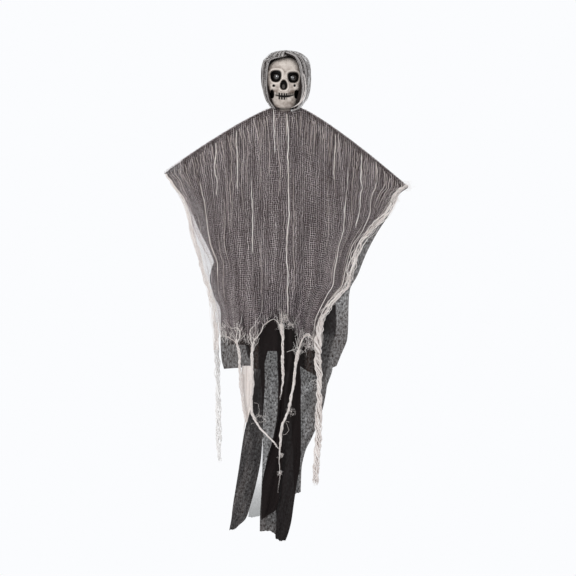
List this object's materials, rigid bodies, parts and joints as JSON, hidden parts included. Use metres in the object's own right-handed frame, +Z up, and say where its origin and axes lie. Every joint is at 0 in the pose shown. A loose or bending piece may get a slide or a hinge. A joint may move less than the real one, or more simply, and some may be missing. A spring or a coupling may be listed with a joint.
{
  "type": "hanging fabric ghost decoration",
  "caption": "Hanging skull ghost: a moulded skull on a bent shoulder wire, draped in a lined gauze hood, a black voile robe and a ragged grey gauze cape.",
  "frame": {"origin": "middle of the hanging eye on the skull's crown", "axes": "+Z up, the face looks along -Y, the arms spread along X"},
  "size_m": [0.4462, 0.0925, 0.9],
  "materials": {
    "bone_plastic": "moulded bone white with rubbed-in brown shading",
    "galvanised_wire": "drawn and galvanised",
    "black_voile": "sheer open weave",
    "grey_gauze": "open cheesecloth weave with pulled threads"
  },
  "bodies": {
    "root": {"skull": "bone_plastic", "arm_wire": "galvanised_wire", "hood_lining": "black_voile", "gauze_hood": "grey_gauze", "black_robe": "black_voile", "gauze_cape": "grey_gauze"}
  },
  "joints": []
}
